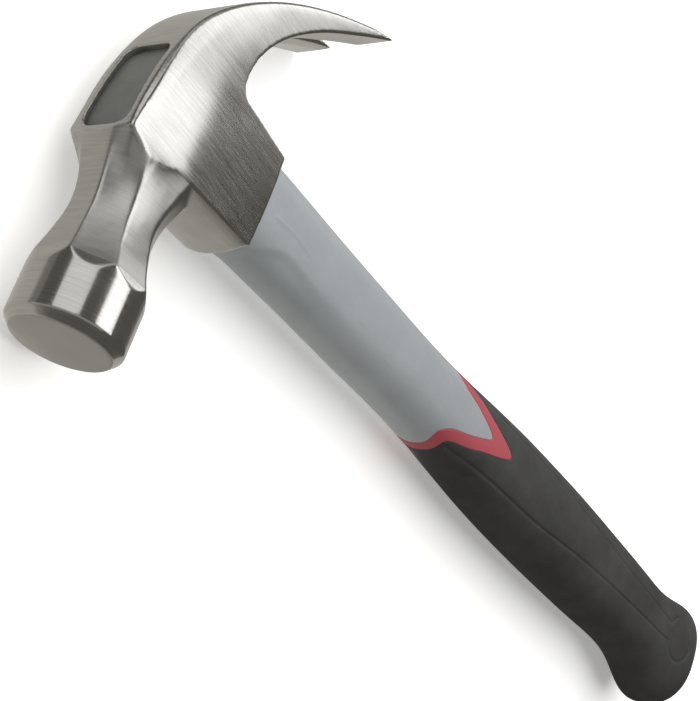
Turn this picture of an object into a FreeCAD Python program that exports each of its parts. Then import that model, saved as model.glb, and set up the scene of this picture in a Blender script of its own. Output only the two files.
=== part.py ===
import FreeCAD, Part
import math
import os

# Curved-claw hammer, lying on its side, in millimetres.
# Working axes while it is built: X along the handle from the butt to the head, Y towards the
# striking face, Z up through the upper cheek, with zero where the poll's axis crosses the
# handle's axis. At the end every piece is moved so that zero is the bottom centre of the box.

V = FreeCAD.Vector

# ---- driving dimensions: head ----
FACE_RADIUS = 15.0            # poll, across its round part
FACE_FLAT_RADIUS = 12.7       # flat striking face inside the bevel
FACE_Y = 65.1                 # striking face
BEVEL = 2.4                   # axial length of the bevel round the face
PETAL_END_Y = 51.0            # the octagonal neck has run out into the round poll here
TOP_X = 16.0                  # top of the head above the poll's axis
SKIRT_X = -34.6               # lower end of the head's skirt
CHEEK_Y_FRONT = 14.6          # front edge of the cheek
CHEEK_Y_BACK = -13.2          # back edge of the cheek at the skirt
CHEEK_HALF = 10.9             # half thickness of the head at the cheek's front edge
TOP_CHAMFER = 0.8             # broken edge along the top of the cheeks and claws
SKIRT_CROWN_Y = 17.1          # the skirt's front wall bulges out to here
SKIRT_WALL_TOP_X = -8.5       # the skirt's front wall runs up under the neck to here
SKIRT_WALL_ROOT = 6.0         # how far the front wall is let into the cheeks
SKIRT_ROUND = 1.2             # rounding of the skirt's lower front edge
CLAW_TIP = (-50.6, -64.6)     # X, Y of the claw tips
CLAW_TIP_EDGE = (0.25, 0.35)  # X, Y size of the blunted tip edge
CLAW_TIP_HALF = 17.4          # half width over both claw tips
SLOT_TIP_HALF = 4.15          # half width of the nail slot at the tips
SLOT_LENGTH = 25.5            # depth of the nail slot, along the claws
SLOT_ANGLE = 36.3             # direction of the slot, from the handle's axis, in degrees
SLOT_NOSE = 1.2               # how far the slot's round end stands off its point
SLOT_OVERRUN = 8.0            # the slot's cutter starts this far outside the tips
SLOT_BELOW = 15.0             # and this far below the tip's corner
TOP_LINE = [(TOP_X, CHEEK_Y_FRONT), (15.6, 8.0), (14.9, 0.5), (13.6, -7.4), (11.6, -15.0),
            (8.9, -22.2), (4.6, -29.6), (-1.4, -36.9), (-8.6, -43.7), (-16.8, -49.8),
            (-25.0, -54.7), (-33.5, -58.9), (-42.0, -62.6)]
UNDER_LINE = [(-42.5, -59.4), (-36.3, -55.2), (-30.0, -50.7), (-24.2, -45.6), (-19.0, -39.6),
              (-15.4, -33.2), (-13.1, -26.6), (-12.4, -21.0)]
THROAT = [(-12.9, -18.0), (-15.6, -16.0)]      # small curve from the claws into the cheek
# half width of the cheeks and claws at each station along Y
WIDTH_LINE = [(CHEEK_Y_FRONT, CHEEK_HALF), (8.0, 11.4), (0.0, 11.6), (-8.0, 11.4), (-15.0, 10.9),
              (-22.0, 10.2), (-30.0, 9.9), (-38.0, 10.6), (-46.0, 12.1), (-54.0, 14.2),
              (-60.0, 16.0), (CLAW_TIP[1] - CLAW_TIP_EDGE[1], CLAW_TIP_HALF)]

# ---- driving dimensions: neck ----
# station along Y; top, side and bottom distances from the axis; half the width of the top facet;
# half the height of the side facet; how far the upper corner is filled out to a square (0 to 1)
NECK = [
    (13.0, 15.9, 10.8, 15.4, 5.0, 8.4, 0.84),
    (14.6, 15.9, 10.8, 15.2, 5.0, 8.2, 0.84),
    (16.2, 15.5, 10.5, 14.7, 4.9, 7.7, 0.66),
    (18.4, 14.8, 10.1, 13.9, 4.8, 7.0, 0.42),
    (21.4, 13.8, 9.5, 12.7, 4.6, 6.2, 0.16),
    (25.5, 12.6, 8.9, 11.4, 4.2, 5.2, 0.0),
    (31.0, 11.7, 8.7, 10.6, 4.0, 4.5, 0.0),
    (36.0, 11.9, 9.4, 10.9, 4.2, 4.6, 0.0),
    (41.0, 12.7, 11.0, 12.2, 4.8, 5.1, 0.0),
    (45.0, 13.5, 12.8, 13.3, 5.4, 5.5, 0.0),
]
NECK_OCTAGONS = [(48.0, 14.3), (PETAL_END_Y + 0.5, 15.5)]      # Y and distance to every flat
NECK_TRIM_Y = 35.0            # past here the octagon is turned down to the poll's radius

# ---- driving dimensions: eye and the parts that hold the handle in it ----
EYE_TOP = (-14.2, 13.4, 7.9)      # back, front and half width at the top
EYE_BOTTOM = (-10.9, 12.0, 7.4)   # back, front and half width at the skirt
EYE_CORNER = 4.0
EYE_RECESS_FRONT = 1.4            # depth of the bonding resin below the rim, at the front
EYE_FLOOR_SLOPE = 0.142           # the resin's surface falls towards the claws
SEAL_LENGTH = 7.0                 # soft plug that closes the eye's lower end
CORE_HALF = (9.2, 6.0)            # half width and half thickness of the core rod
CORE_COVER = 2.0                  # resin over the end of the rod
CORE_END_X = -328.0

# ---- driving dimensions: handle ----
# station along X, front half width, back half width, half thickness
HANDLE = [
    (SKIRT_X, 15.1, 15.1, 10.4),
    (-48.0, 14.9, 14.9, 10.4),
    (-64.0, 14.4, 14.4, 10.4),
    (-84.0, 13.9, 13.9, 10.5),
    (-105.0, 13.5, 13.5, 10.7),
    (-125.0, 13.1, 13.1, 11.1),
    (-141.0, 13.4, 13.4, 11.6),
    (-156.0, 14.2, 14.2, 12.1),
    (-171.0, 15.3, 15.2, 12.6),
    (-187.0, 16.3, 16.1, 13.0),
    (-206.0, 16.9, 16.7, 13.2),
    (-230.0, 17.0, 17.1, 13.3),
    (-252.0, 16.7, 17.0, 13.2),
    (-272.0, 16.2, 16.7, 13.0),
    (-288.0, 15.5, 16.4, 12.9),
    (-300.0, 15.6, 15.9, 12.9),
    (-310.0, 17.2, 15.8, 13.0),
    (-319.0, 20.3, 16.6, 13.5),
    (-327.0, 23.0, 17.9, 14.2),
    (-334.0, 22.8, 18.8, 14.5),
    (-340.0, 18.6, 17.2, 13.2),
    (-344.0, 12.4, 12.6, 9.4),
    (-346.0, 6.5, 7.0, 5.2),
]
SECTION_POWER = 2.5           # superellipse power: 2 is an ellipse, higher is squarer
SECTION_STEPS = 32
SKIN = 2.4                    # thickness of the band and of the grip over the jacket
WAIST_X = -130.0              # the jacket is stepped down under its skins somewhere below here
INNER_END_X = -340.0          # end of the jacket inside the grip's butt

# boundaries on both side faces, as distance from the handle's middle plane and X
BAND_TOP = [(0.0, -163.2), (2.6, -158.8), (6.0, -148.6), (8.6, -141.8), (10.8, -139.9),
            (13.2, -142.0), (30.0, -143.0)]
BAND_BOTTOM = [(0.0, -176.2), (2.6, -172.0), (6.0, -161.2), (9.0, -151.8), (11.8, -145.2),
               (13.6, -146.4), (30.0, -147.0)]

REACH = 60.0                  # cutting shapes reach at least this far past the part


def polyline_face(points):
    """A flat face inside a closed chain of points."""
    return Part.Face(Part.makePolygon(points + [points[0]]))


def spline(points):
    """A smooth edge through the points."""
    curve = Part.BSplineCurve()
    curve.interpolate(points)
    return curve.toShape()


# ---------------------------------------------------------------- head

def side_profile():
    """Outline of the cheeks and claws seen from the side, as a prism through the head."""
    top = [V(x, y, -REACH) for x, y in TOP_LINE]
    under = [V(x, y, -REACH) for x, y in UNDER_LINE]
    corner, back = [V(x, y, -REACH) for x, y in THROAT]
    tip = V(CLAW_TIP[0], CLAW_TIP[1], -REACH)
    tip_top = tip + V(CLAW_TIP_EDGE[0], -CLAW_TIP_EDGE[1], 0)
    skirt_back = V(SKIRT_X, CHEEK_Y_BACK, -REACH)
    skirt_front_corner = V(SKIRT_X, CHEEK_Y_FRONT, -REACH)
    edges = [
        spline(top),
        Part.makeLine(top[-1], tip_top),
        Part.makeLine(tip_top, tip),
        Part.makeLine(tip, under[0]),
        spline(under),
        Part.Arc(under[-1], corner, back).toShape(),
        Part.makeLine(back, skirt_back),
        Part.makeLine(skirt_back, skirt_front_corner),
        Part.makeLine(skirt_front_corner, top[0]),
    ]
    return Part.Face(Part.Wire(edges)).extrude(V(0, 0, 2 * REACH))


def plan_profile():
    """Outline of the cheeks and the flaring claws seen from the top of the head."""
    upper = [V(-REACH, y, w) for y, w in WIDTH_LINE]
    lower = [V(-REACH, y, -w) for y, w in WIDTH_LINE]
    edges = [
        spline(upper),
        Part.makeLine(upper[-1], lower[-1]),
        spline(lower[::-1]),
        Part.makeLine(lower[0], upper[0]),
    ]
    return Part.Face(Part.Wire(edges)).extrude(V(2 * REACH, 0, 0))


def blank():
    """Cheeks and claws in one block, with the top edges broken."""
    block = side_profile().common(plan_profile()).Solids[0]
    long_edges = [e for e in block.Edges if e.BoundBox.XMax > TOP_X - 1 and e.BoundBox.YLength > REACH]
    return block.makeChamfer(TOP_CHAMFER, long_edges)


def skirt_front():
    """The rounded wall under the neck."""
    y = CHEEK_Y_FRONT
    root_y = y - SKIRT_WALL_ROOT
    ends = [V(SKIRT_X, y, CHEEK_HALF), V(SKIRT_X, y, -CHEEK_HALF)]
    roots = [V(SKIRT_X, root_y, CHEEK_HALF), V(SKIRT_X, root_y, -CHEEK_HALF)]
    bow = Part.Arc(ends[0], V(SKIRT_X, SKIRT_CROWN_Y, 0), ends[1]).toShape()
    rest = Part.makePolygon([ends[1], roots[1], roots[0], ends[0]])
    return Part.Face(Part.Wire([bow] + rest.Edges)).extrude(V(SKIRT_WALL_TOP_X - SKIRT_X, 0, 0))


def neck():
    """Faceted neck from the cheeks to the poll, waisted in the middle."""
    tan = math.tan(math.radians(22.5))
    stations = NECK + [(y, r, r, r, r * tan, r * tan, 0.0) for y, r in NECK_OCTAGONS]
    wires = []
    for y, top, side, bottom, b, c, fill in stations:
        gx = (top + c) / 2 + fill * (top - c) / 2
        gz = (side + b) / 2 + fill * (side - b) / 2
        ring = [V(top, y, b), V(gx, y, gz), V(c, y, side), V(-c, y, side), V(-bottom, y, b),
                V(-bottom, y, -b), V(-c, y, -side), V(c, y, -side), V(gx, y, -gz), V(top, y, -b)]
        wires.append(Part.makePolygon(ring + [ring[0]]))
    loft = Part.makeLoft(wires, True, False)
    start = V(0, NECK_TRIM_Y, 0)
    outside = Part.makeCylinder(REACH, REACH, start, V(0, 1, 0))
    round_poll = Part.makeCylinder(FACE_RADIUS, REACH, start, V(0, 1, 0))
    return loft.cut(outside.cut(round_poll))


def poll():
    """Round poll with a bevelled striking face."""
    y0 = PETAL_END_Y
    y1 = FACE_Y - BEVEL
    profile = polyline_face([V(0, y0, 0), V(FACE_RADIUS, y0, 0), V(FACE_RADIUS, y1, 0),
                             V(FACE_FLAT_RADIUS, FACE_Y, 0), V(0, FACE_Y, 0)])
    return profile.revolve(V(0, 0, 0), V(0, 1, 0), 360)


def nail_slot():
    """Wedge that opens the V between the claws."""
    angle = math.radians(SLOT_ANGLE)
    along = V(math.cos(angle), math.sin(angle), 0)
    normal = V(along.y, -along.x, 0)
    up = V(0, 0, 1)
    base = V(CLAW_TIP[0], CLAW_TIP[1], 0) - normal * SLOT_BELOW
    spread = SLOT_TIP_HALF / SLOT_LENGTH
    half = SLOT_TIP_HALF + spread * SLOT_OVERRUN
    r = 2 * spread
    start = base - along * SLOT_OVERRUN
    apex = base + along * (SLOT_LENGTH - 2)
    nose = base + along * (SLOT_LENGTH - SLOT_NOSE)
    edges = [
        Part.makeLine(start + up * half, apex + up * r),
        Part.Arc(apex + up * r, nose, apex - up * r).toShape(),
        Part.makeLine(apex - up * r, start - up * half),
        Part.makeLine(start - up * half, start + up * half),
    ]
    return Part.Face(Part.Wire(edges)).extrude(normal * REACH)


def eye_section(x, back, front, half):
    """Rounded rectangle across the eye at one height."""
    r = EYE_CORNER
    k = r * (1 - math.sqrt(0.5))
    pts = [V(x, back + r, -half), V(x, front - r, -half), V(x, front, -half + r),
           V(x, front, half - r), V(x, front - r, half), V(x, back + r, half),
           V(x, back, half - r), V(x, back, -half + r)]
    mids = [V(x, front - k, -half + k), V(x, front - k, half - k),
            V(x, back + k, half - k), V(x, back + k, -half + k)]
    edges = []
    for i in range(4):
        edges.append(Part.makeLine(pts[2 * i], pts[2 * i + 1]))
        edges.append(Part.Arc(pts[2 * i + 1], mids[i], pts[(2 * i + 2) % 8]).toShape())
    return Part.Wire(edges)


def eye(x0, x1):
    """The tapered eye between two heights, as a solid."""
    wires = []
    for x in (x0, x1):
        t = (x - SKIRT_X) / (TOP_X - SKIRT_X)
        size = [b + (a - b) * t for a, b in zip(EYE_TOP, EYE_BOTTOM)]
        wires.append(eye_section(x, *size))
    return Part.makeLoft(wires, True, True)


def head():
    """The forged head, with the eye and the nail slot cut through it."""
    wall = skirt_front()
    lowest = [e for e in wall.Edges if e.BoundBox.XMax < SKIRT_X + 1]
    lower_front = [e for e in lowest if e.BoundBox.YMax > SKIRT_CROWN_Y - 1]
    wall = wall.makeFillet(SKIRT_ROUND, lower_front)
    forged = blank().fuse([wall, neck(), poll()]).removeSplitter()
    return forged.cut([eye(SKIRT_X - 5, TOP_X + 5), nail_slot()])


# ---------------------------------------------------------------- handle

def section(x, front, back, side):
    """Superellipse across the handle."""
    power = 2.0 / SECTION_POWER
    pts = []
    for i in range(SECTION_STEPS):
        a = 2 * math.pi * (i + 0.5) / SECTION_STEPS
        c = math.cos(a)
        s = math.sin(a)
        y = (front if c > 0 else -back) * abs(c) ** power
        pts.append(V(x, y, math.copysign(side * abs(s) ** power, s)))
    curve = Part.BSplineCurve()
    curve.interpolate(pts, True)
    return Part.Wire([curve.toShape()])


def handle_body(inset):
    """The handle's outer form, drawn in by inset."""
    wires = [section(x, front - inset, back - inset, side - inset) for x, front, back, side in HANDLE]
    return Part.makeLoft(wires, True, False)


def boundary(table):
    """Everything on the butt side of a boundary line that is the same on both side faces."""
    right = [V(x, y, -REACH) for y, x in table]
    left = [V(x, -y, -REACH) for y, x in table[::-1]]
    past_butt = V(HANDLE[-1][0] - REACH - table[-1][1], 0, 0)
    edge = spline(left[:-1] + right)
    close = Part.makePolygon([right[-1], right[-1] + past_butt, left[0] + past_butt, left[0]])
    return Part.Face(Part.Wire([edge] + close.Edges)).extrude(V(0, 0, 2 * REACH))


def core_rod():
    """Pultruded rod through the eye and the handle."""
    half_y, half_z = CORE_HALF
    top = TOP_X - EYE_RECESS_FRONT - CORE_COVER - EYE_FLOOR_SLOPE * (CHEEK_Y_FRONT + half_y)
    return Part.Face(eye_section(CORE_END_X, -half_y, half_y, half_z)).extrude(V(top - CORE_END_X, 0, 0))


def eye_bond(rod):
    """Resin that fills the eye round the rod and covers its end."""
    fill = eye(SKIRT_X + SEAL_LENGTH, TOP_X + 2)
    front_x = TOP_X - EYE_RECESS_FRONT
    back_x = front_x - EYE_FLOOR_SLOPE * (CHEEK_Y_FRONT + REACH)
    above = polyline_face([V(front_x, CHEEK_Y_FRONT, -REACH), V(back_x, -REACH, -REACH),
                           V(REACH, -REACH, -REACH), V(REACH, CHEEK_Y_FRONT, -REACH)])
    return fill.cut([above.extrude(V(0, 0, 2 * REACH)), rod])


def eye_seal(rod):
    """Soft plug that closes the lower end of the eye round the rod."""
    return eye(SKIRT_X, SKIRT_X + SEAL_LENGTH).cut(rod)


def build():
    """Every piece of the hammer, by name, in the working axes."""
    rod = core_rod()
    outer = handle_body(0)
    stepped = Part.makeBox(WAIST_X - INNER_END_X, REACH, REACH, V(INNER_END_X, -REACH / 2, -REACH / 2))
    inner = handle_body(SKIN).common(stepped)
    below_top = boundary(BAND_TOP)
    below_bottom = boundary(BAND_BOTTOM)
    skin = outer.cut(inner)
    return {
        "head": head(),
        "eye_bond": eye_bond(rod),
        "eye_seal": eye_seal(rod),
        "core_rod": rod,
        "jacket": outer.cut(below_top).fuse(inner.common(below_top)).removeSplitter().cut(rod),
        "accent_band": skin.common(below_top).cut(below_bottom),
        "grip": skin.common(below_bottom),
    }


pieces = build()
box = FreeCAD.BoundBox()
for shape in pieces.values():
    box.add(shape.optimalBoundingBox(False, False))
shift = V(-box.Center.x, -box.Center.y, -box.ZMin)
os.makedirs("parts", exist_ok=True)
for name, shape in pieces.items():
    solid = shape.Solids[0] if len(shape.Solids) == 1 else shape
    solid.translate(shift)
    solid.exportStep("parts/" + name + ".step")
    print(name, "solids", len(shape.Solids), "valid", shape.isValid(), "cm3", round(shape.Volume / 1000, 2))
print("box", [round(v, 2) for v in (box.XLength, box.YLength, box.ZLength)], "moved by", shift)
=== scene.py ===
import bmesh
import bpy
import math
import numpy as np
from mathutils import Matrix, Vector
from mathutils.bvhtree import BVHTree


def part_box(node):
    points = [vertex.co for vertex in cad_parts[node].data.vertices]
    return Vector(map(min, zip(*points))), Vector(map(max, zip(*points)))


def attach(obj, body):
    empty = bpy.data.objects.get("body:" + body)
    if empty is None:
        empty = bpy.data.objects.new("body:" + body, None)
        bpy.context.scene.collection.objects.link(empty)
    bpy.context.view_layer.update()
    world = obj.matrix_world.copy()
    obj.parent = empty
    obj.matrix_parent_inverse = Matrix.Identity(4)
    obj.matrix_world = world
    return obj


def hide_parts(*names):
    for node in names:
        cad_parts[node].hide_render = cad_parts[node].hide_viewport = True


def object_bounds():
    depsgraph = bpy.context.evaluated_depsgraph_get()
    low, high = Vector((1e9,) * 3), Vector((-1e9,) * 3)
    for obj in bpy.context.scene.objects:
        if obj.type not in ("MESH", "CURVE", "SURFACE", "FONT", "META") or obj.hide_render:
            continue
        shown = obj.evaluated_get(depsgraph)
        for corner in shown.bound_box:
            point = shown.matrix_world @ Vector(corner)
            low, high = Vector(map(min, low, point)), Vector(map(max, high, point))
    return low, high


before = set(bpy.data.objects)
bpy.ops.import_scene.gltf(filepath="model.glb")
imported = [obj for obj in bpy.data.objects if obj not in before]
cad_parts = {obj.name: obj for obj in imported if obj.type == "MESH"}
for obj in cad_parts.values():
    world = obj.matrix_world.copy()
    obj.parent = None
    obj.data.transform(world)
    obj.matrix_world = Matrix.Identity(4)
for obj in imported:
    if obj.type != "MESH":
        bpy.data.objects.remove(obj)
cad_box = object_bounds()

MM = 0.001


# ---- the observer ----
# Stands off the corner of the striking face and looks down along the hammer to the butt, with
# the head nearest. The horizon leans, so that the handle runs down and to the right.

CAMERA_PLACE = Vector((392.6, 201.2, 291.4)) * MM
CAMERA_AIM = Vector((64.7, 9.8, 14.3)) * MM
CAMERA_UP = Vector((0.512, -0.859, -0.012))
FOCAL_LENGTH = 83.97
SENSOR_WIDTH = 36.0
LENS_SHIFT = (0.0118, 0.0164)
NEAREST_SEEN = 10 * MM


def facing(place, aim, up):
    """Where something stands that looks at aim, with its own Y axis near up."""
    back = (place - aim).normalized()
    right = up.cross(back).normalized()
    turn = Matrix((right, back.cross(right), back)).transposed()
    return Matrix.Translation(place) @ turn.to_4x4()


observer = bpy.data.objects.new("observer", bpy.data.cameras.new("observer"))
observer.data.sensor_fit = "HORIZONTAL"
observer.data.sensor_width = SENSOR_WIDTH
observer.data.lens = FOCAL_LENGTH
observer.data.shift_x, observer.data.shift_y = LENS_SHIFT
observer.data.clip_start = NEAREST_SEEN
observer.matrix_world = facing(CAMERA_PLACE, CAMERA_AIM, CAMERA_UP)
bpy.context.scene.collection.objects.link(observer)
bpy.context.scene.camera = observer


# ---- head ----
# One forging in medium-carbon steel: round poll, octagonal waisted neck, cheeks, skirt and claws.
# The cheeks and claws are finished on a belt, the neck is ground across, the poll is turned and
# the striking face ground flat. The grinding breaks every edge and leaves the cheeks crowned.

# X, Y and Z below are measured from the point on the poll's axis that the handle's axis crosses.
# A pair with two lengths is where a change starts or ends, and how long it takes.
TOP_X = 16.0 * MM                               # the top of the head
FACE_Y = 65.1 * MM                              # the striking face
POLL_AXIS = Vector((cad_box[1][0] - TOP_X, cad_box[1][1] - FACE_Y, cad_box[1][2] / 2))
TOP_ARC_RADIUS = 74.5 * MM                      # the top of the head follows this arc, seen from the side
TOP_ARC_CENTRE = (TOP_X - TOP_ARC_RADIUS, 11.0 * MM)
# half width of the cheeks and claws at each station along Y, in mm
WIDTH_LINE = [(14.6, 10.9), (8.0, 11.4), (0.0, 11.6), (-8.0, 11.4), (-15.0, 10.9), (-22.0, 10.2),
              (-30.0, 9.9), (-38.0, 10.6), (-46.0, 12.1), (-54.0, 14.2), (-60.0, 16.0), (-65.0, 17.4)]
WIDTH_DEGREE = 6                                # of the smooth curve near those stations
WIDTH_STEP = 50                                 # in mm, keeps the powers of that curve small
NECK_START = 14.9 * MM
POLL_START = 47.0 * MM
FACE_START = FACE_Y - 0.4 * MM                  # the face is nearer to the striking end than this
FACE_SQUARENESS = 0.8                           # and turned at least this much towards it

HEAD_VOXEL = 0.3 * MM
HEAD_SMOOTHING = 6                              # rounds of softening, before the grinding and after it

FLANK_SQUARENESS = (0.8, 0.15)                  # a flank's points face this squarely sideways,
FLANK_NEAR = (1.2 * MM, 0.4 * MM)               # lie this near its smooth line,
FLANK_END = (13.0 * MM, 3.0 * MM)               # and end here along Y
CHEEK_BULGE = 2.6 * MM                          # the cheek's front edge bulges on to the neck
BULGE_X = 6.0 * MM
BULGE_REACH = 6.5 * MM
BULGE_FADE = 7.0 * MM                           # the neck runs out of the bulge over this length
BULGE_SQUARENESS = (0.45, 0.2)
BULGE_NEAR = (2.2 * MM, 0.4 * MM)
BULGE_BACK = (11.0 * MM, 2.0 * MM)
BULGE_RIM = (0.4 * MM, 0.8 * MM)
NECK_FALL = (0.17, 0.47)                        # how steeply the neck falls from the cheek, at these X
NECK_FALL_X = (6.0 * MM, 9.4 * MM)

KNEE_X = -2.7 * MM                              # two belt passes meet in a soft line across the cheek
KNEE_TURN_Y = 5.0 * MM                          # which slants down towards the claws from here
KNEE_SLANT = 0.15
KNEE_WIDTH = 1.8 * MM
KNEE_RISE = 0.6 * MM                            # and the cheek is fullest there
UPPER_LEAN = 0.06                               # slope of the upper pass, and of the lower one
LOWER_LEAN = 0.028
CHEEK_END = (NECK_START + 3 * MM, 6 * MM)
CHEEK_HALF = 11.0 * MM
CLAW_START = (-8.0 * MM, 24.0 * MM)             # the lower pass runs out, from here towards the claws
CLAW_EASE = 0.35                                # and the upper one leans this much less
TIP_START = (-46.0 * MM, 8.0 * MM)              # the last of each claw leans outwards
TIP_LEAN = 0.03
TIP_HINGE = 5.0 * MM                            # about a line this far below the top
EDGE_DEPTH = (0.9 * MM, 0.15 * MM)              # the top edge is rolled over by this much, cheek and claw
EDGE_REACH = (4.5 * MM, 3.0 * MM)
EDGE_SHARPNESS = 1.5
EDGE_END = (NECK_START - 1 * MM, 8 * MM)

NECK_RIDGE = (11.7 * MM, 4.6 * MM)              # a diagonal facet of the neck's waist ends at these X
RIDGE_RISE = 0.75 * MM                          # and its lower ridge stands this much prouder
RIDGE_START = (NECK_START, 8 * MM)
SIDE_LEAN = 0.03                                # slope of the neck's side facet, and its bulge
SIDE_BULGE = 0.12 * MM
SIDE_START = (NECK_START + 2 * MM, 10 * MM)
NECK_END = (POLL_START, 10 * MM)
NECK_HALF = 8.0 * MM

CORNER_OUT = (9.0 * MM, 1.5 * MM)               # cheek and neck blend outside this and above the next,
CORNER_UP = (1.0 * MM, 2.0 * MM)
CORNER_BACK = (13.0 * MM, 1.0 * MM)             # from here along Y
CORNER_RIM = (1.2 * MM, 1.0 * MM)               # to just past the cheek's front edge
CORNER_SMOOTHING = 14
SLOT_HALF = (6.5 * MM, 1.5 * MM)                # the nail slot's walls are filed smooth
SLOT_START = (-24.0 * MM, 4.0 * MM)
SLOT_SMOOTHING = 24


def worn_copy(node, name, voxel, smoothing):
    """A closed even mesh of a CAD node with its edges softened, as a new piece."""
    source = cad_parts[node].data.copy()
    piece = bpy.data.objects.new(name, source)
    bpy.context.scene.collection.objects.link(piece)
    remesh = piece.modifiers.new("even", "REMESH")
    remesh.mode = "VOXEL"
    remesh.voxel_size = voxel
    remesh.use_smooth_shade = True
    smooth = piece.modifiers.new("soften", "SMOOTH")
    smooth.factor = 0.5
    smooth.iterations = smoothing
    bpy.context.view_layer.update()
    evaluated = piece.evaluated_get(bpy.context.evaluated_depsgraph_get())
    mesh = bpy.data.meshes.new_from_object(evaluated)
    piece.modifiers.clear()
    piece.data = mesh
    bpy.data.meshes.remove(source)
    mesh.materials.clear()
    return piece


def points_of(mesh):
    """The mesh's points as an array, in metres."""
    points = np.empty(len(mesh.vertices) * 3)
    mesh.vertices.foreach_get("co", points)
    return points.reshape(-1, 3)


def settle(mesh, rounds, share=1.0):
    """Draws each point towards the middle of its neighbours, by its share, to even out the edges."""
    points = points_of(mesh)
    ends = np.empty(len(mesh.edges) * 2, dtype=int)
    mesh.edges.foreach_get("vertices", ends)
    one, other = ends.reshape(-1, 2).T
    neighbours = np.bincount(ends)
    for step in range(rounds):
        for axis in range(3):
            value = points[:, axis]
            total = np.bincount(one, value[other], len(value))
            total += np.bincount(other, value[one], len(value))
            points[:, axis] = value + (total / neighbours - value) * share / 2
    mesh.vertices.foreach_set("co", points.ravel())
    mesh.update()


def grow(value, start, length):
    """0 up to start, 1 from start + length on, and even in between."""
    return np.clip((value - start) / length, 0, 1)


def fade(value, end, length):
    """1 up to end - length, 0 from end on, and even in between."""
    return np.clip((end - value) / length, 0, 1)


def soft_ramp(distance, width):
    """Zero below zero and equal to distance above it, with a rounded turn of that width."""
    return width * np.logaddexp(0, distance / width)


def flank_gap(y, z):
    """From each point to the smooth line of the cheeks and claws on its side, along Z."""
    stations = np.array(WIDTH_LINE)
    curve = np.polyfit(stations[:, 0] / WIDTH_STEP, stations[:, 1], WIDTH_DEGREE)
    return np.polyval(curve, y / MM / WIDTH_STEP) * MM * np.sign(z) - z


def cheek_front(x):
    """Where the cheek ends and the neck begins along Y, at each X."""
    return NECK_START + CHEEK_BULGE * np.exp(-((x - BULGE_X) / BULGE_REACH) ** 2)


def belt_draw(x, y):
    """How far the two belt passes and the rolled edge take the cheeks and claws in."""
    radius = np.hypot(x - TOP_ARC_CENTRE[0], y - TOP_ARC_CENTRE[1])
    depth = np.maximum(TOP_ARC_RADIUS - radius, 0)
    claw = fade(y, *CLAW_START)
    above_knee = x - KNEE_X + KNEE_SLANT * np.maximum(KNEE_TURN_Y - y, 0)
    draw = UPPER_LEAN * (1 - CLAW_EASE * claw) * soft_ramp(above_knee, KNEE_WIDTH)
    draw += (LOWER_LEAN * soft_ramp(-above_knee, KNEE_WIDTH) - KNEE_RISE) * (1 - claw)
    draw += TIP_LEAN * fade(y, *TIP_START) * (TIP_HINGE - depth)
    for edge_depth, edge_reach, share in zip(EDGE_DEPTH, EDGE_REACH, (1 - claw, claw)):
        roll = fade(depth, edge_reach, edge_reach) ** EDGE_SHARPNESS
        draw += edge_depth * roll * fade(y, *EDGE_END) * share
    return draw * fade(y, *CHEEK_END)


def neck_rise(x, y, on_bulge):
    """How far the neck's lower ridge and side facet stand out, and the fall from the cheek."""
    top_x, side_x = NECK_RIDGE
    rise = RIDGE_RISE * fade(x, top_x, top_x - side_x) * grow(y, *RIDGE_START)
    across = np.clip(x / side_x, -1, 1)
    rise += (SIDE_LEAN * side_x * (1 - across) + SIDE_BULGE * (1 - across ** 2)) * grow(y, *SIDE_START)
    front = cheek_front(x)
    fall = np.interp(x, NECK_FALL_X, NECK_FALL) * np.clip(y - NECK_START, 0, front - NECK_START)
    rise += fall * fade(y, front + BULGE_FADE, BULGE_FADE) ** 2 * (1 - on_bulge)
    return rise * fade(y, *NECK_END)


def crown_head(mesh):
    """Gives the cheeks, claws and neck the flats and bulges that the grinding leaves."""
    points = points_of(mesh)
    x, y, z = (points - np.array(POLL_AXIS)).T
    normals = np.empty(len(mesh.vertices) * 3)
    mesh.vertex_normals.foreach_get("vector", normals)
    squareness = np.abs(normals[2::3])
    gap = flank_gap(y, z)
    front = cheek_front(x)
    on_flank = grow(squareness, *FLANK_SQUARENESS) * fade(np.abs(gap), *FLANK_NEAR) * fade(y, *FLANK_END)
    on_bulge = grow(squareness, *BULGE_SQUARENESS) * fade(np.abs(gap), *BULGE_NEAR) * grow(y, *BULGE_BACK)
    on_bulge *= fade(y, front + BULGE_RIM[0], BULGE_RIM[1]) * grow(front, NECK_START, BULGE_RIM[1])
    points[:, 2] += gap * (on_flank + (1 - on_flank) * on_bulge)
    rise = neck_rise(x, y, on_bulge) * grow(np.abs(z), 0, NECK_HALF) ** 2
    draw = belt_draw(x, y) * grow(np.abs(z), 0, CHEEK_HALF) ** 2
    points[:, 2] += np.sign(z) * (rise - draw)
    mesh.vertices.foreach_set("co", points.ravel())
    mesh.update()


def linear(code):
    """A colour written in sRGB hex, as the linear numbers that a shader takes."""
    parts = [int(code[i:i + 2], 16) / 255 for i in (1, 3, 5)]
    return tuple(c / 12.92 if c <= 0.04045 else ((c + 0.055) / 1.055) ** 2.4 for c in parts) + (1.0,)


def add(tree, kind, inputs=None, **settings):
    """Adds a node. inputs maps a socket to a value, or to another node's output."""
    node = tree.nodes.new(kind)
    for name, value in settings.items():
        setattr(node, name, value)
    for socket, value in (inputs or {}).items():
        if isinstance(value, bpy.types.NodeSocket):
            tree.links.new(value, node.inputs[socket])
        else:
            node.inputs[socket].default_value = value
    return node


def new_material(name):
    """An empty node material, and its node tree."""
    material = bpy.data.materials.new(name)
    material.use_nodes = True
    material.node_tree.nodes.clear()
    return material, material.node_tree


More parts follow.
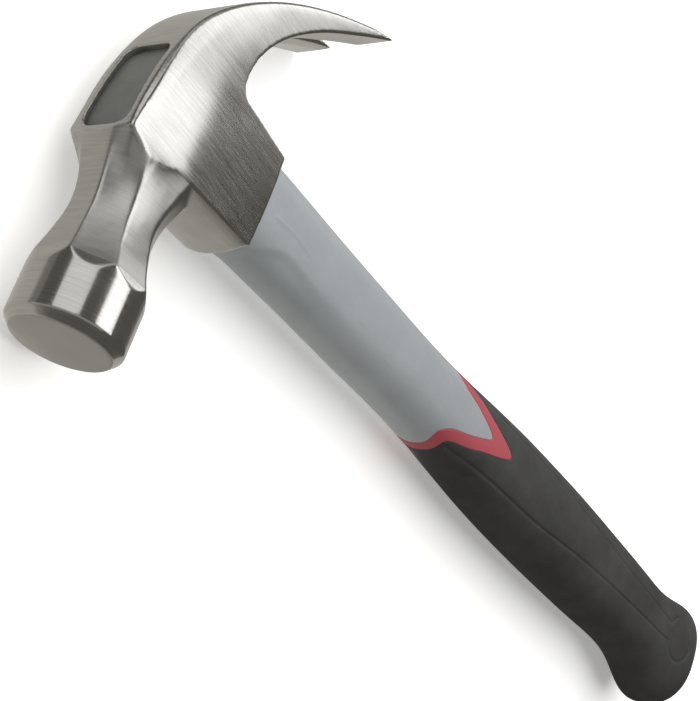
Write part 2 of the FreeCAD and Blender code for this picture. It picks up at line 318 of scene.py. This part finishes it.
LINE_CONTRAST = (0.3, 0.7)         # the noise between these goes from the darker tint to the lighter
LINE_RELIEF = 0.03                 # share of the lines' depth that shows
LINE_DEPTH = 0.03 * MM
GLOSS_SWING = 0.08                 # the lines' share of the roughness, up and down
HANDLING_SCALE = 90.0              # patches of handling, about 11 mm across
HANDLING_DULLING = 0.12


def ground_steel(name, tint, across, along, turn, roughness, anisotropy):
    """Bare ground steel: streaks in the tint and the gloss, with highlights that spread across
    the grinding lines and stay tight along them. across and along are a streak's width and
    length, and turn is how far the lines are turned from the head's length, in degrees. A real
    grinding line is about 0.1 mm wide, and is drawn about 5 times as wide so that it shows."""
    material, tree = new_material(name)
    angle = math.radians(turn)
    place = add(tree, "ShaderNodeTexCoord").outputs["Object"]
    turned = add(tree, "ShaderNodeVectorRotate", {"Vector": place, "Axis": (0, 0, 1), "Angle": angle})
    stretched = add(tree, "ShaderNodeVectorMath", {
        0: turned.outputs[0], 1: (1 / along, 1 / across, 1 / along)}, operation="MULTIPLY")
    lines = add(tree, "ShaderNodeTexNoise", {
        "Vector": stretched.outputs[0], "Scale": 1.0, "Detail": 1.5, "Roughness": 0.5})
    handling = add(tree, "ShaderNodeTexNoise", {"Vector": place, "Scale": HANDLING_SCALE, "Detail": 3.0})
    colour = add(tree, "ShaderNodeValToRGB", {"Fac": lines.outputs["Fac"]})
    for stop, position, code in zip(colour.color_ramp.elements, LINE_CONTRAST, tint):
        stop.position = position
        stop.color = linear(code)
    gloss = add(tree, "ShaderNodeMapRange", {
        "Value": lines.outputs["Fac"], "From Min": LINE_CONTRAST[0], "From Max": LINE_CONTRAST[1],
        "To Min": roughness * (1 - GLOSS_SWING), "To Max": roughness * (1 + GLOSS_SWING)})
    rough = add(tree, "ShaderNodeMath", {
        0: handling.outputs["Fac"], 1: HANDLING_DULLING, 2: gloss.outputs[0]}, operation="MULTIPLY_ADD")
    bump = add(tree, "ShaderNodeBump", {
        "Height": lines.outputs["Fac"], "Strength": LINE_RELIEF, "Distance": LINE_DEPTH})
    tangent = add(tree, "ShaderNodeVectorRotate", {"Vector": (0, 1, 0), "Axis": (0, 0, 1), "Angle": -angle})
    shader = add(tree, "ShaderNodeBsdfPrincipled", {
        "Base Color": colour.outputs["Color"], "Metallic": 1.0, "Roughness": rough.outputs[0],
        "Anisotropic": anisotropy, "Tangent": tangent.outputs[0], "Normal": bump.outputs[0]})
    add(tree, "ShaderNodeOutputMaterial", {"Surface": shader.outputs[0]})
    return material


head = worn_copy("head", "forged_head", HEAD_VOXEL, HEAD_SMOOTHING)
crown_head(head.data)
settle(head.data, HEAD_SMOOTHING)
x, y, z = (points_of(head.data) - np.array(POLL_AXIS)).T
at_corner = grow(np.abs(z), *CORNER_OUT) * grow(x, *CORNER_UP) * grow(y, *CORNER_BACK)
at_corner *= fade(y, cheek_front(x) + CORNER_RIM[0], CORNER_RIM[1])
settle(head.data, CORNER_SMOOTHING, at_corner)
x, y, z = (points_of(head.data) - np.array(POLL_AXIS)).T
in_slot = fade(np.abs(z), *SLOT_HALF) * fade(y, *SLOT_START)
settle(head.data, SLOT_SMOOTHING, in_slot)

# belt-finished cheeks and claws: the brightest steel, with long streaks and drawn-out highlights
belt_finished = ground_steel("belt_finished_steel", ("#aeadaa", "#bebdba"), across=0.55 * MM,
                             along=8 * MM, turn=5, roughness=0.18, anisotropy=0.8)
# cross-ground neck: softer highlights on each facet, under fine streaks
cross_ground = ground_steel("cross_ground_steel", ("#b0afac", "#bdbcb9"), across=0.5 * MM,
                            along=9 * MM, turn=0, roughness=0.26, anisotropy=0.6)
# turned and polished poll: crisp light and dark bands along the round
turned_poll = ground_steel("turned_poll_steel", ("#b2b1ae", "#bebdba"), across=0.5 * MM,
                           along=12 * MM, turn=0, roughness=0.15, anisotropy=0.7)
# surface-ground striking face: an even satin grey
ground_face = ground_steel("face_ground_steel", ("#b4b3b0", "#bab9b6"), across=0.5 * MM,
                           along=4 * MM, turn=90, roughness=0.5, anisotropy=0.0)
for steel in (belt_finished, cross_ground, turned_poll, ground_face):
    head.data.materials.append(steel)
centres = np.empty(len(head.data.polygons) * 3)
head.data.polygons.foreach_get("center", centres)
directions = np.empty(len(head.data.polygons) * 3)
head.data.polygons.foreach_get("normal", directions)
x, y, z = (centres.reshape(-1, 3) - np.array(POLL_AXIS)).T
finish = np.zeros(len(y), dtype=int)
finish[y > cheek_front(x)] = 1
finish[y > POLL_START] = 2
finish[(y > FACE_START) & (directions[1::3] > FACE_SQUARENESS)] = 3
head.data.polygons.foreach_set("material_index", finish)
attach(head, "root")
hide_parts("head")


# ---- bond, plug and rod in the eye ----
# Cast epoxy holds the handle in the eye, and shows as a dark dull floor below the rim. A soft
# plug below it kept it in while it set, round a pultruded glass-fibre rod.

BOND_BELOW_RIM = 1.9 * MM          # the cast surface follows the head's top this far down
BOND_FRONT = (14.6 * MM, 13.4 * MM)             # the front of the CAD's flat cast surface, as X and Y
BOND_SLOPE = 0.142                 # and how it rises towards the front
BOND_SKIN = (-1.4 * MM, 0.5 * MM)  # only what is this near the cast surface follows
BOND_SMOOTHING = 2
MOTTLE_SCALE = 60.0                # patches of a slightly other tone, about 17 mm across
MOTTLE_CONTRAST = (0.35, 0.65)
GRAIN_GLOSS = 0.08                 # the grain makes the roughness differ by this much either way
GRAIN_RELIEF = 0.6


def moulding(name, tints, roughness, grain, depth):
    """A cast or moulded surface: a faint mottle of two tints under a fine grain of that size and
    depth, which breaks up the gloss."""
    material, tree = new_material(name)
    place = add(tree, "ShaderNodeTexCoord").outputs["Object"]
    fine = add(tree, "ShaderNodeTexNoise", {"Vector": place, "Scale": 1 / grain, "Detail": 4.0})
    mottle = add(tree, "ShaderNodeTexNoise", {
        "Vector": place, "Scale": MOTTLE_SCALE, "Detail": 8.0, "Roughness": 0.7})
    tone = add(tree, "ShaderNodeValToRGB", {"Fac": mottle.outputs["Fac"]})
    for stop, position, code in zip(tone.color_ramp.elements, MOTTLE_CONTRAST, tints):
        stop.position = position
        stop.color = linear(code)
    rough = add(tree, "ShaderNodeMapRange", {
        "Value": fine.outputs["Fac"], "To Min": roughness - GRAIN_GLOSS, "To Max": roughness + GRAIN_GLOSS})
    bump = add(tree, "ShaderNodeBump", {
        "Height": fine.outputs["Fac"], "Strength": GRAIN_RELIEF, "Distance": depth})
    shader = add(tree, "ShaderNodeBsdfPrincipled", {
        "Base Color": tone.outputs["Color"], "Roughness": rough.outputs[0], "Normal": bump.outputs[0]})
    add(tree, "ShaderNodeOutputMaterial", {"Surface": shader.outputs[0]})
    return material


bond = worn_copy("eye_bond", "cast_bond", HEAD_VOXEL, BOND_SMOOTHING)
points = points_of(bond.data)
x, y, z = (points - np.array(POLL_AXIS)).T
along_arc = np.maximum(TOP_ARC_RADIUS ** 2 - (y - TOP_ARC_CENTRE[1]) ** 2, 0)
sunk_top = TOP_ARC_CENTRE[0] + np.sqrt(along_arc) - BOND_BELOW_RIM
flat_top = BOND_FRONT[0] - BOND_SLOPE * (BOND_FRONT[1] - y)
points[:, 0] += (sunk_top - x) * grow(x, flat_top + BOND_SKIN[0], BOND_SKIN[1])
bond.data.vertices.foreach_set("co", points.ravel())
# cast epoxy filled with dark pigment: a dull, nearly even charcoal
bond.data.materials.append(moulding("cast_epoxy", ("#4f504e", "#5e5f5d"), roughness=0.5,
                                    grain=0.8 * MM, depth=0.02 * MM))
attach(bond, "root")
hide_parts("eye_bond")

EYE_PIECES = {
    # closed-cell foam, cut to size: black and quite matt
    "eye_seal": moulding("plug_foam", ("#2a2a2a", "#333333"), roughness=0.85,
                         grain=0.6 * MM, depth=0.1 * MM),
    # glass fibre in polyester, pulled through a die: straw-coloured with a low gloss
    "core_rod": moulding("pultruded_glass_fibre", ("#c9c08f", "#d6cea4"), roughness=0.4,
                         grain=0.3 * MM, depth=0.02 * MM),
}
for node, material in EYE_PIECES.items():
    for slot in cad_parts[node].material_slots:
        slot.material = material


# ---- jacket ----
# Polypropylene moulded over the rod in a light cool grey, with a satin skin off the mould. Its
# sides are flat panels that start in an arch below the head and run down to the swept red band.

COLUMNS = 240                      # points round the handle
ROW = 0.45 * MM                    # between rows of points along it
WALL = 2.0 * MM                    # thickness of each moulded skin
INNER_STRIDE = 16                  # the hidden inside has every so many rows of the outside
BUTT_ROWS = 48                     # rows from the start of the butt's round to its middle
CAST_FROM = 60 * MM                # outside every skin
SEAM_ROUNDS = 14                   # halvings of the search for a seam
SKIN_SMOOTHING = 3
SKINS = ["jacket", "accent_band", "grip"]
ANGLES = (np.arange(COLUMNS) + 0.5) * 2 * math.pi / COLUMNS
LIP = [(0.0, 0.32), (0.12, 0.14), (0.3, 0.04), (0.6, 0.0)]      # how a skin's edge rolls in, in mm
LIP_LENGTH = LIP[-1][0] * MM

skin_points = []
skin_faces = []
face_owner = []
for number, node in enumerate(SKINS):
    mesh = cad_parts[node].data
    first = len(skin_points)
    skin_points += [v.co.copy() for v in mesh.vertices]
    skin_faces += [[first + i for i in p.vertices] for p in mesh.polygons]
    face_owner += [number] * len(mesh.polygons)
skin_tree = BVHTree.FromPolygons(skin_points, skin_faces)


def cast(along, way):
    """Distance from the handle's axis at this X out to its surface, and the skin met there."""
    origin = Vector((along, POLL_AXIS.y, POLL_AXIS.z))
    place, normal, index, distance = skin_tree.ray_cast(origin + way * CAST_FROM, -way)
    return CAST_FROM - distance, face_owner[index]


def seam(angle, upper, lower, number):
    """Where, along the handle at this angle, the skin with that number or a later one begins."""
    way = Vector((0, math.cos(angle), math.sin(angle)))
    for step in range(SEAM_ROUNDS):
        middle = (upper + lower) / 2
        if cast(middle, way)[1] >= number:
            lower = middle
        else:
            upper = middle
    return lower


def soften(field, passes):
    """Averages a grid of distances with its neighbours, round the handle and along it."""
    for step in range(passes):
        field = (np.roll(field, 1, 1) + 2 * field + np.roll(field, -1, 1)) / 4
        field[1:-1] = (field[:-2] + 2 * field[1:-1] + field[2:]) / 4
    return field


def row_places(length, closed_butt):
    """Distances of rows from a skin's first edge: close together in the lips, then even."""
    lip = [distance * MM for distance, drop in LIP]
    between = length - 2 * LIP_LENGTH
    count = max(2, round(between / ROW))
    rows = lip + [LIP_LENGTH + between * i / count for i in range(1, count)]
    if closed_butt:
        return rows + [length - LIP_LENGTH, length]
    return rows + [length - distance for distance in reversed(lip)]


def shell_faces(outer_count, ring_count, closed_butt):
    """Quads round the outside and back along the inside, with flat ends inside a closed butt."""
    faces = []
    for ring in range(ring_count):
        if closed_butt and ring == outer_count - 1:
            continue
        here = ring * COLUMNS
        after = (ring + 1) % ring_count * COLUMNS
        for j in range(COLUMNS):
            k = (j + 1) % COLUMNS
            faces.append((here + j, after + j, after + k, here + k))
    if closed_butt:
        first_inner = outer_count * COLUMNS
        faces.append(tuple(range(first_inner - COLUMNS, first_inner)))
        faces.append(tuple(reversed(range(first_inner, first_inner + COLUMNS))))
    return faces


def skin_piece(name, starts, ends, relief, closed_butt=False):
    """A moulded skin between two seams, as a closed shell that follows the CAD surface. relief
    gives how deep the surface is cut at each point."""
    shares = np.array(row_places(float(np.mean(np.abs(starts - ends))), closed_butt))
    shares /= shares[-1]
    rows = [starts + (ends - starts) * share for share in shares]
    turns = np.zeros(len(rows))
    if closed_butt:
        turning = np.linspace(0, math.pi / 2, BUTT_ROWS)[1:]
        rows += [ends] * len(turning)
        turns = np.concatenate([turns, turning])
    along = np.array(rows)
    turn = turns[:, None] + np.zeros(COLUMNS)
    way = np.stack([-np.sin(turn), np.cos(turn) * np.cos(ANGLES), np.cos(turn) * np.sin(ANGLES)], 2)
    reach = np.empty(along.shape)
    for i, j in np.ndindex(reach.shape):
        reach[i, j] = cast(along[i, j], Vector(way[i, j]))[0]
    reach = soften(reach, SKIN_SMOOTHING)
    axis = np.stack([along, np.full_like(along, POLL_AXIS.y), np.full_like(along, POLL_AXIS.z)], 2)
    outer = axis + way * reach[:, :, None]
    from_edge = np.abs(along - starts)
    if not closed_butt:
        from_edge = np.minimum(from_edge, np.abs(along - ends))
    lip = np.array(LIP) * MM
    sink = np.interp(from_edge, lip[:, 0], lip[:, 1]) + relief(outer - np.array(POLL_AXIS))
    outer -= way * sink[:, :, None]
    inner_rows = list(range(0, len(rows), INNER_STRIDE)) + [len(rows) - 1]
    inner = (outer - way * WALL)[inner_rows][::-1]
    rings = np.concatenate([outer, inner])
    mesh = bpy.data.meshes.new(name)
    mesh.from_pydata(rings.reshape(-1, 3).tolist(), [], shell_faces(len(rows), len(rings), closed_butt))
    shell = bmesh.new()
    shell.from_mesh(mesh)
    bmesh.ops.recalc_face_normals(shell, faces=shell.faces)
    shell.to_mesh(mesh)
    shell.free()
    mesh.shade_smooth()
    piece = bpy.data.objects.new(name, mesh)
    bpy.context.scene.collection.objects.link(piece)
    return piece


def smooth_line(corners, steps=4):
    """A smooth line through all these points."""
    points = np.array(corners, dtype=float)
    points = np.vstack([2 * points[0] - points[1], points, 2 * points[-1] - points[-2]])
    line = []
    for before, start, end, after in zip(points, points[1:], points[2:], points[3:]):
        bend = 2 * before - 5 * start + 4 * end - after
        twist = 3 * start - 3 * end + after - before
        for t in np.arange(steps) / steps:
            line.append((2 * start + (end - before) * t + bend * t ** 2 + twist * t ** 3) / 2)
    return line + [points[-2]]


def groove(points, path, width, depth):
    """Depth of a round-bottomed groove that follows a path of (x, y) in mm on both side faces."""
    flat = points[:, :, :2] / MM
    nearest = np.full(flat.shape[:2], np.inf)
    for (x0, y0), (x1, y1) in zip(path, path[1:]):
        run = np.array([x1 - x0, y1 - y0])
        share = np.clip(((flat - (x0, y0)) @ run) / (run @ run), 0, 1)
        gap = np.linalg.norm(flat - (x0, y0) - share[:, :, None] * run, axis=2)
        nearest = np.minimum(nearest, gap)
    return depth * np.exp(-(nearest / (width / 2)) ** 2) * MM


# (x, y) in mm from the poll's axis: the arched front edge of each side panel, from the butt up
PANEL_FRONT = [(-76.0, 7.4), (-65.0, 7.0), (-54.0, 6.0), (-49.0, 6.4), (-45.0, 8.0), (-35.5, 14.0)]
FRONT_SINK = 0.6                   # the front of the handle lies this far below the panels, in mm
FRONT_SLOPE = 4.0                  # and slopes down to there over this many
SINK_START = (-100.0, 50.0)        # the sunk front deepens from here up to the head
CREASE = [(-40.0, 1.9), (-48.0, 1.35), (-54.0, 1.8), (-57.7, 2.5)]
CREASE_WIDTH = 1.2
CREASE_RISE = 0.12


def jacket_relief(points):
    """The front sunk below the side panels near the head, and a faint raised crease on each."""
    x = points[:, :, 0] / MM
    y = points[:, :, 1] / MM
    panel_x, panel_y = np.array(PANEL_FRONT).T
    outside = grow(y, np.interp(x, panel_x, panel_y), FRONT_SLOPE)
    sunk = FRONT_SINK * outside ** 2 * (3 - 2 * outside) * grow(x, *SINK_START)
    return sunk * MM - groove(points, smooth_line(CREASE), CREASE_WIDTH, CREASE_RISE)


SKIRT_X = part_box("jacket")[1].x
SKIRT_GAP = 0.05 * MM
BAND_SEARCH = (60 * MM, 160 * MM)  # the band's two seams lie within these, below the head
GRIP_SEARCH = (60 * MM, 175 * MM)
band_tops = np.array([seam(a, SKIRT_X - BAND_SEARCH[0], SKIRT_X - BAND_SEARCH[1], 1) for a in ANGLES])
grip_tops = np.array([seam(a, SKIRT_X - GRIP_SEARCH[0], SKIRT_X - GRIP_SEARCH[1], 2) for a in ANGLES])
jacket = skin_piece("moulded_jacket", np.full(COLUMNS, SKIRT_X - SKIRT_GAP), band_tops, jacket_relief)
# polypropylene off a fine-textured mould: cool grey with a satin sheen
jacket.data.materials.append(moulding("satin_polypropylene", ("#8b8f92", "#919598"), roughness=0.4,
                                      grain=0.5 * MM, depth=0.01 * MM))
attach(jacket, "root")
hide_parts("jacket")


# ---- accent band ----
# Red thermoplastic rubber, moulded over the end of the jacket before the grip. It is flush with
# both but for a fine seam, and on each side its V points down the handle.

band = skin_piece("moulded_band", band_tops, grip_tops, lambda points: np.zeros(points.shape[:2]))
# thermoplastic rubber, moulded: a muted red, softly matt
band.data.materials.append(moulding("red_rubber", ("#973d45", "#a0454d"), roughness=0.55,
                                    grain=0.4 * MM, depth=0.02 * MM))
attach(band, "root")
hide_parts("accent_band")


# ---- grip ----
# Black thermoplastic rubber moulded last, over the jacket, flared at the butt. On each side two
# fine grooves draw together down the grip and open into a ring at the butt, like a keyhole.

# (x, y) in mm from the poll's axis: the front groove down to the ring, and the back one up from it
FRONT_GROOVE = [(-146.5, 11.9), (-168.0, 10.7), (-203.0, 9.9), (-240.0, 6.7), (-280.0, 4.5), (-314.8, 3.6)]
BACK_GROOVE = [(-314.8, -3.6), (-292.0, -4.9), (-247.0, -6.9), (-215.0, -9.2), (-182.0, -9.4),
               (-164.0, -10.5), (-150.0, -12.2)]
RING_X = -322.5
RING_RADIUS = 8.3
RING_STEPS = 40
GROOVE_WIDTH = 0.8
GROOVE_DEPTH = 0.35
BUTT_ROUND = 20 * MM               # the butt is rounded over this much of its length


def grip_relief(points):
    """The keyhole grooves of both side faces."""
    start = math.atan2(FRONT_GROOVE[-1][1], FRONT_GROOVE[-1][0] - RING_X)
    ring = [(RING_X + RING_RADIUS * math.cos(a), RING_RADIUS * math.sin(a))
            for a in np.linspace(start, 2 * math.pi - start, RING_STEPS)]
    keyhole = smooth_line(FRONT_GROOVE) + ring + smooth_line(BACK_GROOVE)
    return groove(points, keyhole, GROOVE_WIDTH, GROOVE_DEPTH)


butt_starts = np.full(COLUMNS, cad_box[0][0] + BUTT_ROUND)
grip = skin_piece("moulded_grip", grip_tops, butt_starts, grip_relief, closed_butt=True)
# thermoplastic rubber, moulded: near black, dull, with a fine tooth that catches the light
grip.data.materials.append(moulding("black_rubber", ("#292929", "#373736"), roughness=0.55,
                                    grain=0.4 * MM, depth=0.03 * MM))
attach(grip, "root")
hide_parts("grip")


# ---- floor and lights ----
# Seamless pale paper, and soft boxes over the hammer that its gloss shows as light and dark
# bands. Two broad fills light what is matt, and bright cards on the floor show in its low edges.

FLOOR_HALF = 10.0
FLOOR_GLOW = 0.35                  # keeps the shadow on the paper light
floor_corners = [(-FLOOR_HALF, -FLOOR_HALF, 0), (FLOOR_HALF, -FLOOR_HALF, 0),
                 (FLOOR_HALF, FLOOR_HALF, 0), (-FLOOR_HALF, FLOOR_HALF, 0)]
floor_mesh = bpy.data.meshes.new("floor")
floor_mesh.from_pydata(floor_corners, [], [(0, 1, 2, 3)])
floor = bpy.data.objects.new("floor", floor_mesh)
bpy.context.scene.collection.objects.link(floor)
# background paper: off-white and quite matt
paper, tree = new_material("matt_background_paper")
shader = add(tree, "ShaderNodeBsdfPrincipled", {
    "Base Color": linear("#f4f4f3"), "Roughness": 0.9,
    "Emission Color": linear("#f4f4f3"), "Emission Strength": FLOOR_GLOW})
add(tree, "ShaderNodeOutputMaterial", {"Surface": shader.outputs[0]})
floor_mesh.materials.append(paper)
floor.visible_glossy = False

BOX_AIM = Vector((110, 0, 20)) * MM
CARD_HEIGHT = 0.3 * MM
CARD_TINT = (1.02, 1.0, 0.94)      # a little warm


def lamp_at(name, place, aim, size, radiance, in_gloss, on_matt):
    """A rectangular light. in_gloss says whether reflections show it, and on_matt whether it lights
    matt surfaces."""
    data = bpy.data.lights.new(name, "AREA")
    data.shape = "RECTANGLE"
    data.size, data.size_y = size
    data.energy = radiance * math.pi * size[0] * size[1]
    lamp = bpy.data.objects.new(name, data)
    lamp.matrix_world = facing(place, aim, Vector((0, 1, 0)))
    lamp.visible_glossy = in_gloss
    lamp.visible_diffuse = on_matt
    lamp.visible_camera = False
    bpy.context.scene.collection.objects.link(lamp)
    return lamp


def soft_box(name, angle, lean, distance, size, radiance, fills=False):
    """A light aimed at the head. angle is its height round the Y axis, from +X up, and lean is how
    far it stands towards +Y, both in degrees. size is across that arc, then along Y. One that
    fills lights only what is matt, and any other shows only in gloss."""
    a = math.radians(angle)
    b = math.radians(lean)
    way = Vector((math.cos(a) * math.cos(b), math.sin(b), math.sin(a) * math.cos(b)))
    return lamp_at(name, BOX_AIM + way * distance, BOX_AIM, size, radiance, not fills, fills)


soft_box("far_side_box", angle=108, lean=-26.5, distance=1.4, size=(0.82, 1.33), radiance=2.2)
soft_box("head_end_box", angle=32.5, lean=-19.5, distance=1.4, size=(1.18, 1.27), radiance=1.0)
soft_box("front_box", angle=8, lean=26, distance=1.4, size=(2.0, 0.8), radiance=0.3)
soft_box("front_top_box", angle=76, lean=24, distance=1.4, size=(1.7, 0.75), radiance=0.3)
soft_box("low_end_box", angle=66, lean=-58, distance=1.4, size=(0.7, 0.4), radiance=0.7)
soft_box("low_far_box", angle=160, lean=-53, distance=1.4, size=(0.3, 0.4), radiance=2.2)
soft_box("fill", angle=93, lean=-21, distance=2.0, size=(3.6, 3.6), radiance=1.9, fills=True)
soft_box("end_fill", angle=28, lean=-25, distance=1.8, size=(2.0, 2.0), radiance=1.3, fills=True)
for name, x, y, size, radiance in (("near_card", 102.5, 20, (0.205, 0.36), 0.44),
                                   ("far_card", 117.5, 20, (0.235, 0.36), 0.13),
                                   ("claw_card", 50, -270, (0.4, 0.38), 0.4)):
    place = Vector((x * MM, y * MM, CARD_HEIGHT))
    card = lamp_at(name, place, place + Vector((0, 0, 1)), size, radiance, True, False)
    card.data.color = CARD_TINT

# the room beyond the boxes: a dim warm grey
world = bpy.data.worlds.new("studio")
world.use_nodes = True
world.node_tree.nodes["Background"].inputs["Color"].default_value = linear("#67645e")
world.node_tree.nodes["Background"].inputs["Strength"].default_value = 1.0
bpy.context.scene.world = world
bpy.context.scene.view_settings.view_transform = "Standard"
